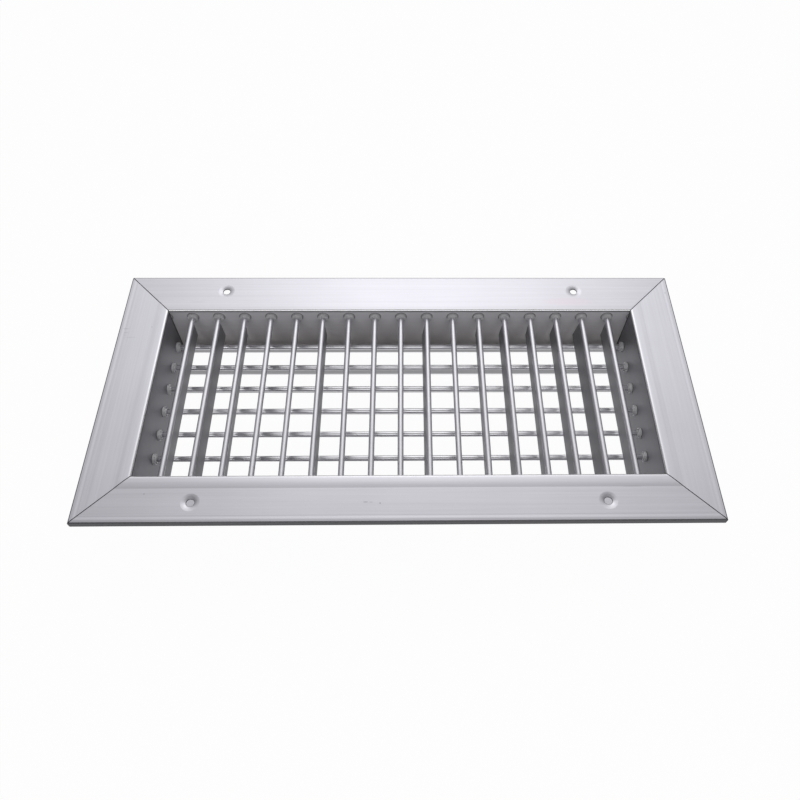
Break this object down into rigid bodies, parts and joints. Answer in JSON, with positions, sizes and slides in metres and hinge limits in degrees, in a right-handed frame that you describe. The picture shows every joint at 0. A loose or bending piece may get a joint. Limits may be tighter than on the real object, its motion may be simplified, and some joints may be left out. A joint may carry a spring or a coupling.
{
  "type": "double deflection supply grille",
  "caption": "Rectangular aluminium supply air grille with a mitred flanged frame, upright front blades and crosswise rear blades, each turning on its own bushes.",
  "frame": {"origin": "centre of the neck's rear edge, on which the grille lies face up", "axes": "+X along the long side to the right, +Y up the short side as mounted on a wall, +Z out of the face into the room"},
  "size_m": [0.4, 0.1968, 0.052],
  "materials": {
    "frame_aluminium": "satin anodised with fine extrusion lines",
    "blade_aluminium": "satin anodised with fine extrusion lines",
    "nylon": "translucent natural nylon"
  },
  "bodies": {
    "frame": {"frame_top": "frame_aluminium", "frame_bottom": "frame_aluminium", "frame_left": "frame_aluminium", "frame_right": "frame_aluminium", "corner_key_top_left": "frame_aluminium", "corner_key_top_right": "frame_aluminium", "corner_key_bottom_left": "frame_aluminium", "corner_key_bottom_right": "frame_aluminium", "front_bushes": "nylon", "rear_bushes": "nylon"},
    "front_blade_01": {"front_blade_01": "blade_aluminium"},
    "front_blade_02": {"front_blade_02": "blade_aluminium"},
    "front_blade_03": {"front_blade_03": "blade_aluminium"},
    "front_blade_04": {"front_blade_04": "blade_aluminium"},
    "front_blade_05": {"front_blade_05": "blade_aluminium"},
    "front_blade_06": {"front_blade_06": "blade_aluminium"},
    "front_blade_07": {"front_blade_07": "blade_aluminium"},
    "front_blade_08": {"front_blade_08": "blade_aluminium"},
    "front_blade_09": {"front_blade_09": "blade_aluminium"},
    "front_blade_10": {"front_blade_10": "blade_aluminium"},
    "front_blade_11": {"front_blade_11": "blade_aluminium"},
    "front_blade_12": {"front_blade_12": "blade_aluminium"},
    "front_blade_13": {"front_blade_13": "blade_aluminium"},
    "front_blade_14": {"front_blade_14": "blade_aluminium"},
    "front_blade_15": {"front_blade_15": "blade_aluminium"},
    "front_blade_16": {"front_blade_16": "blade_aluminium"},
    "front_blade_17": {"front_blade_17": "blade_aluminium"},
    "rear_blade_1": {"rear_blade_1": "blade_aluminium"},
    "rear_blade_2": {"rear_blade_2": "blade_aluminium"},
    "rear_blade_3": {"rear_blade_3": "blade_aluminium"},
    "rear_blade_4": {"rear_blade_4": "blade_aluminium"},
    "rear_blade_5": {"rear_blade_5": "blade_aluminium"},
    "rear_blade_6": {"rear_blade_6": "blade_aluminium"},
    "rear_blade_7": {"rear_blade_7": "blade_aluminium"}
  },
  "joints": [
    {"name": "front_blade_01_pivot", "type": "hinge", "parent": "frame", "child": "front_blade_01", "pos_m": [-0.1524, 0, 0.0438], "axis": [0, -1, 0], "range_deg": [-43.5, 46.5]},
    {"name": "front_blade_02_pivot", "type": "hinge", "parent": "frame", "child": "front_blade_02", "pos_m": [-0.13335, 0, 0.0438], "axis": [0, -1, 0], "range_deg": [-49.5, 40.5]},
    {"name": "front_blade_03_pivot", "type": "hinge", "parent": "frame", "child": "front_blade_03", "pos_m": [-0.1143, 0, 0.0438], "axis": [0, -1, 0], "range_deg": [-40.5, 49.5]},
    {"name": "front_blade_04_pivot", "type": "hinge", "parent": "frame", "child": "front_blade_04", "pos_m": [-0.09525, 0, 0.0438], "axis": [0, -1, 0], "range_deg": [-36.5, 53.5]},
    {"name": "front_blade_05_pivot", "type": "hinge", "parent": "frame", "child": "front_blade_05", "pos_m": [-0.0762, 0, 0.0438], "axis": [0, -1, 0], "range_deg": [-39, 51]},
    {"name": "front_blade_06_pivot", "type": "hinge", "parent": "frame", "child": "front_blade_06", "pos_m": [-0.05715, 0, 0.0438], "axis": [0, -1, 0], "range_deg": [-48.5, 41.5]},
    {"name": "front_blade_07_pivot", "type": "hinge", "parent": "frame", "child": "front_blade_07", "pos_m": [-0.0381, 0, 0.0438], "axis": [0, -1, 0], "range_deg": [-41.5, 48.5]},
    {"name": "front_blade_08_pivot", "type": "hinge", "parent": "frame", "child": "front_blade_08", "pos_m": [-0.01905, 0, 0.0438], "axis": [0, -1, 0], "range_deg": [-43, 47]},
    {"name": "front_blade_09_pivot", "type": "hinge", "parent": "frame", "child": "front_blade_09", "pos_m": [0, 0, 0.0438], "axis": [0, -1, 0], "range_deg": [-45, 45]},
    {"name": "front_blade_10_pivot", "type": "hinge", "parent": "frame", "child": "front_blade_10", "pos_m": [0.01905, 0, 0.0438], "axis": [0, -1, 0], "range_deg": [-35.5, 54.5]},
    {"name": "front_blade_11_pivot", "type": "hinge", "parent": "frame", "child": "front_blade_11", "pos_m": [0.0381, 0, 0.0438], "axis": [0, -1, 0], "range_deg": [-46.5, 43.5]},
    {"name": "front_blade_12_pivot", "type": "hinge", "parent": "frame", "child": "front_blade_12", "pos_m": [0.05715, 0, 0.0438], "axis": [0, -1, 0], "range_deg": [-43, 47]},
    {"name": "front_blade_13_pivot", "type": "hinge", "parent": "frame", "child": "front_blade_13", "pos_m": [0.0762, 0, 0.0438], "axis": [0, -1, 0], "range_deg": [-38, 52]},
    {"name": "front_blade_14_pivot", "type": "hinge", "parent": "frame", "child": "front_blade_14", "pos_m": [0.09525, 0, 0.0438], "axis": [0, -1, 0], "range_deg": [-42, 48]},
    {"name": "front_blade_15_pivot", "type": "hinge", "parent": "frame", "child": "front_blade_15", "pos_m": [0.1143, 0, 0.0438], "axis": [0, -1, 0], "range_deg": [-39.5, 50.5]},
    {"name": "front_blade_16_pivot", "type": "hinge", "parent": "frame", "child": "front_blade_16", "pos_m": [0.13335, 0, 0.0438], "axis": [0, -1, 0], "range_deg": [-33.5, 56.5]},
    {"name": "front_blade_17_pivot", "type": "hinge", "parent": "frame", "child": "front_blade_17", "pos_m": [0.1524, 0, 0.0438], "axis": [0, -1, 0], "range_deg": [-41.5, 48.5]},
    {"name": "rear_blade_1_pivot", "type": "hinge", "parent": "frame", "child": "rear_blade_1", "pos_m": [0, 0.05715, 0.0199], "axis": [1, 0, 0], "range_deg": [-68.5, 10.5]},
    {"name": "rear_blade_2_pivot", "type": "hinge", "parent": "frame", "child": "rear_blade_2", "pos_m": [0, 0.0381, 0.0199], "axis": [1, 0, 0], "range_deg": [-63, 27]},
    {"name": "rear_blade_3_pivot", "type": "hinge", "parent": "frame", "child": "rear_blade_3", "pos_m": [0, 0.01905, 0.0199], "axis": [1, 0, 0], "range_deg": [-70.5, 19.5]},
    {"name": "rear_blade_4_pivot", "type": "hinge", "parent": "frame", "child": "rear_blade_4", "pos_m": [0, 0, 0.0199], "axis": [1, 0, 0], "range_deg": [-70, 20]},
    {"name": "rear_blade_5_pivot", "type": "hinge", "parent": "frame", "child": "rear_blade_5", "pos_m": [0, -0.01905, 0.0199], "axis": [1, 0, 0], "range_deg": [-69.5, 20.5]},
    {"name": "rear_blade_6_pivot", "type": "hinge", "parent": "frame", "child": "rear_blade_6", "pos_m": [0, -0.0381, 0.0199], "axis": [1, 0, 0], "range_deg": [-69, 21]},
    {"name": "rear_blade_7_pivot", "type": "hinge", "parent": "frame", "child": "rear_blade_7", "pos_m": [0, -0.05715, 0.0199], "axis": [1, 0, 0], "range_deg": [-59, 20]}
  ]
}
